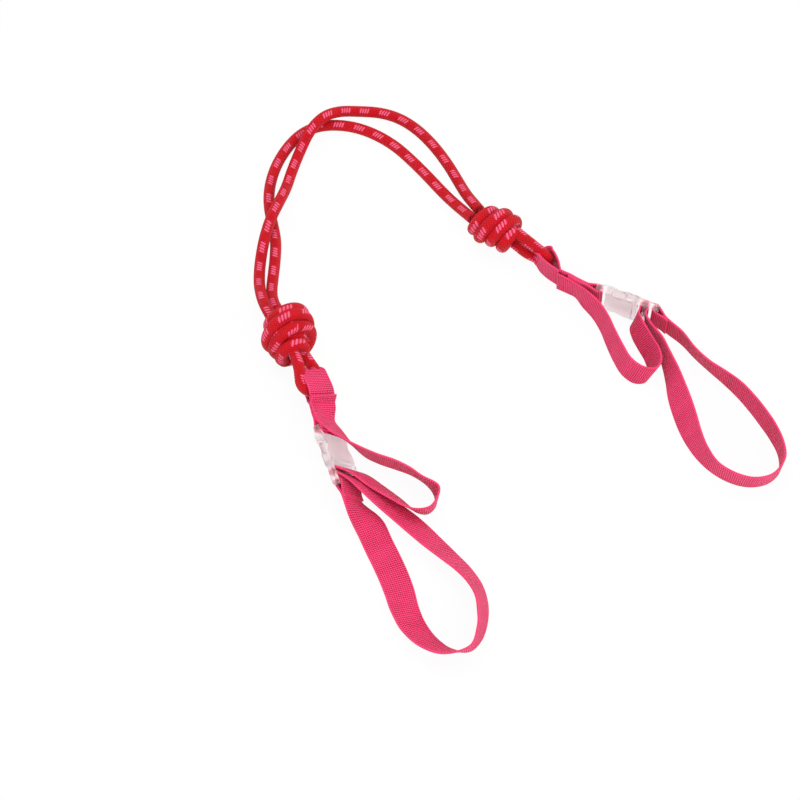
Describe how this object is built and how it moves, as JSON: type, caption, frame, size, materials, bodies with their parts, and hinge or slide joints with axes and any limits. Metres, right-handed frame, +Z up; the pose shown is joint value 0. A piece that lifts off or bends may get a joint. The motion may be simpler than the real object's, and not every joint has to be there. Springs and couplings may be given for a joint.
{
  "type": "tow rope handle",
  "caption": "Doubled braided rope with a barrel knot at each end, each carrying a webbing hand loop and adjuster loop on a side-release buckle.",
  "frame": {"origin": "on the floor, below the middle of the box round every node but the rope's two free strands", "axes": "+Z up from the floor the sling lies on, +X from the left buckle end towards the right one, +Y towards the rope's bend"},
  "size_m": [0.3551, 0.4395, 0.0398],
  "materials": {
    "rope": "braided, with pink marks",
    "webbing": "ribbed weave",
    "buckle_plastic": "frosted, slightly see-through"
  },
  "bodies": {
    "sling": {"rope_strand_front": "rope", "rope_strand_back": "rope", "left_knot": "rope", "left_rope_eye": "rope", "left_rope_fold": "webbing", "left_sewn_tab": "webbing", "left_buckle_socket": "buckle_plastic", "left_adjuster_strap": "webbing", "right_knot": "rope", "right_rope_eye": "rope", "right_rope_fold": "webbing", "right_sewn_tab": "webbing", "right_buckle_socket": "buckle_plastic", "right_adjuster_strap": "webbing"},
    "left_plug": {"left_buckle_plug": "buckle_plastic", "left_loop_tab": "webbing", "left_hand_loop": "webbing"},
    "left_latch_low": {"left_latch_low": "buckle_plastic"},
    "left_latch_high": {"left_latch_high": "buckle_plastic"},
    "right_plug": {"right_buckle_plug": "buckle_plastic", "right_loop_tab": "webbing", "right_hand_loop": "webbing"},
    "right_latch_low": {"right_latch_low": "buckle_plastic"},
    "right_latch_high": {"right_latch_high": "buckle_plastic"}
  },
  "joints": [
    {"name": "left_plug_slide", "type": "slide", "parent": "sling", "child": "left_plug", "axis": [0.3256, -0.9455, 0], "range_m": [0, 0.025], "deforming": ["left_adjuster_strap", "left_latch_low", "left_latch_high"]},
    {"name": "left_latch_low_press", "type": "hinge", "parent": "left_plug", "child": "left_latch_low", "pos_m": [-0.11261, -0.0336, 0.00737], "axis": [0.7243, 0.2494, 0.6428], "range_deg": [0, 10], "stiffness_Nm_per_rad": 0.5},
    {"name": "left_latch_high_press", "type": "hinge", "parent": "left_plug", "child": "left_latch_high", "pos_m": [-0.12233, -0.03695, 0.01963], "axis": [0.7243, 0.2494, 0.6428], "range_deg": [-10, 0], "stiffness_Nm_per_rad": 0.5},
    {"name": "right_plug_slide", "type": "slide", "parent": "sling", "child": "right_plug", "axis": [0.9135, -0.4067, 0], "range_m": [0, 0.025], "deforming": ["right_adjuster_strap", "right_latch_low", "right_latch_high"]},
    {"name": "right_latch_low_press", "type": "hinge", "parent": "right_plug", "child": "right_latch_low", "pos_m": [0.08328, 0.08761, 0.00544], "axis": [0.4045, 0.9085, 0.1045], "range_deg": [0, 10], "stiffness_Nm_per_rad": 0.5},
    {"name": "right_latch_high_press", "type": "hinge", "parent": "right_plug", "child": "right_latch_high", "pos_m": [0.0826, 0.08608, 0.02136], "axis": [0.4045, 0.9085, 0.1045], "range_deg": [-10, 0], "stiffness_Nm_per_rad": 0.5}
  ],
  "couplings": [
    {"joint": "left_latch_high_press", "follows": "left_latch_low_press", "ratio": -1},
    {"joint": "right_latch_high_press", "follows": "right_latch_low_press", "ratio": -1}
  ]
}
